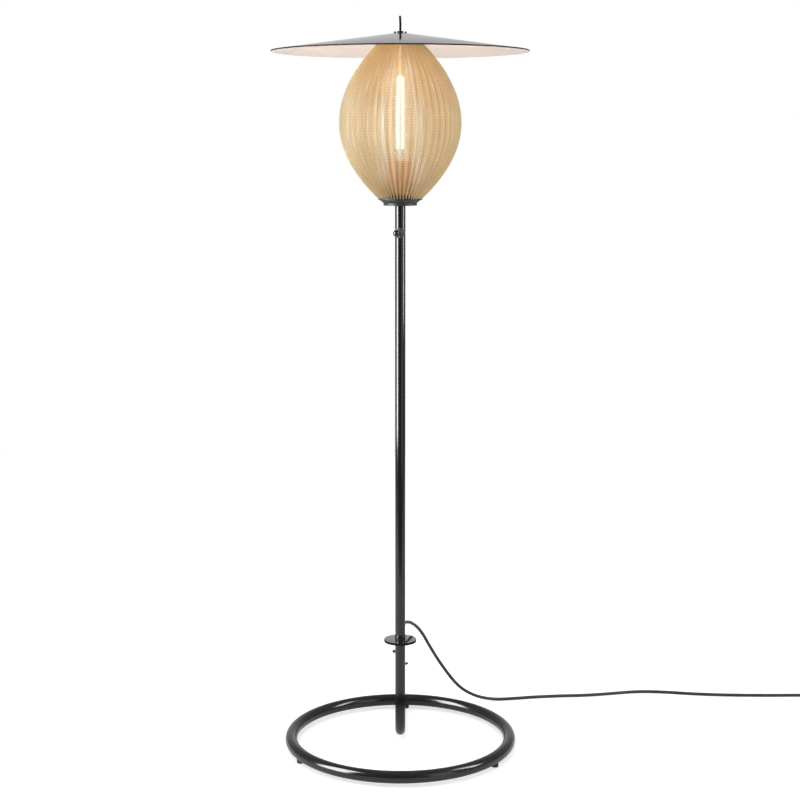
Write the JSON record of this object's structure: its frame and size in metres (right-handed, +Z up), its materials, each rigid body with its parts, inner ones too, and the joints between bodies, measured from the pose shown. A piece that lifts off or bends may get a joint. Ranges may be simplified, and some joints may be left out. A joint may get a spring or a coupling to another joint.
{
  "type": "outdoor floor lamp",
  "caption": "Outdoor floor lamp: ring base, slim pole with collar, pleated perforated lantern shade round a tubular bulb, and a wide lift-off disc with a carrying loop.",
  "frame": {"origin": "on the floor under the pole's axis, at the centre of the base ring", "axes": "+Z up along the pole; +Y towards the back, where the upright runs to the ring; +X to the right as seen from the front"},
  "size_m": [1.0654, 0.4707, 1.2052],
  "materials": {
    "black_coat": "satin",
    "disc_sheet": "gloss",
    "shade_sheet": "satin",
    "steel": "satin",
    "hub_aluminium": "satin",
    "brass": "satin",
    "plated_cap": "polished",
    "holder_plastic": "satin",
    "insulator": "matte",
    "bulb_glass": "gloss",
    "filament": "matte",
    "leather": "matte",
    "foot_rubber": "matte",
    "cord_rubber": "satin",
    "tie_fabric": "matte"
  },
  "bodies": {
    "stand": {"base_ring": "black_coat", "foot_back": "foot_rubber", "foot_left": "foot_rubber", "foot_right": "foot_rubber", "base_upright": "black_coat", "collar": "black_coat", "base_clamp_boss": "black_coat", "pole": "black_coat", "pole_spigot": "steel", "cord_grommet": "foot_rubber", "pole_cable": "cord_rubber", "top_clamp_boss": "black_coat", "mains_cord": "cord_rubber", "cord_coil": "cord_rubber", "coil_tie": "tie_fabric", "cord_tail": "cord_rubber", "plug_body": "cord_rubber", "plug_pins": "plated_cap"},
    "base_clamp_pad": {"base_clamp_pad": "brass"},
    "base_clamp_screw": {"base_clamp_screw": "steel", "base_tommy_bar": "steel"},
    "top_clamp_pad": {"top_clamp_pad": "brass"},
    "top_clamp_screw": {"top_clamp_screw": "steel", "ball_knob": "black_coat"},
    "head": {"head_stem": "steel", "head_flange": "black_coat", "shade_cup": "black_coat", "shade_lower_ring": "shade_sheet", "shade_front": "shade_sheet", "shade_back": "shade_sheet", "shade_upper_ring": "shade_sheet", "upper_cup": "black_coat", "lid_seat": "black_coat", "nipple": "steel", "nipple_nut": "steel", "holder_base": "holder_plastic", "holder_insulator": "insulator", "holder_sleeve": "holder_plastic", "holder_thread_shell": "brass", "holder_contact": "brass", "stem_cable": "cord_rubber", "bulb_tip": "brass", "bulb_cap": "plated_cap", "bulb_glass": "bulb_glass", "bulb_stem": "bulb_glass", "bulb_filament": "filament"},
    "lid": {"disc": "disc_sheet", "disc_hub": "hub_aluminium", "hub_screws": "steel", "carry_loop": "leather", "loop_eyelet": "plated_cap", "loop_ferrule": "steel"}
  },
  "joints": [
    {"name": "head_swivel", "type": "hinge", "parent": "stand", "child": "head", "pos_m": [0, 0, 0.907], "axis": [0, 0, 1], "range_deg": [-170, 170]},
    {"name": "disc_lift", "type": "slide", "parent": "head", "child": "lid", "axis": [0, 0, 1], "range_m": [0, 0.15]},
    {"name": "base_clamp_travel", "type": "slide", "parent": "stand", "child": "base_clamp_pad", "axis": [0, 1, 0], "range_m": [0, 0.002]},
    {"name": "base_clamp_turn", "type": "hinge", "parent": "base_clamp_pad", "child": "base_clamp_screw", "pos_m": [0, 0, 0.145], "axis": [0, 1, 0], "range_deg": [0, 722]},
    {"name": "top_clamp_travel", "type": "slide", "parent": "stand", "child": "top_clamp_pad", "axis": [-0.309, -0.9511, 0], "range_m": [0, 0.002]},
    {"name": "top_clamp_turn", "type": "hinge", "parent": "top_clamp_pad", "child": "top_clamp_screw", "pos_m": [0, 0, 0.863], "axis": [-0.309, -0.9511, 0], "range_deg": [0, 722]}
  ],
  "couplings": [
    {"joint": "base_clamp_turn", "follows": "base_clamp_travel", "rad_per_m": 6283.2},
    {"joint": "top_clamp_turn", "follows": "top_clamp_travel", "rad_per_m": 6283.2}
  ]
}
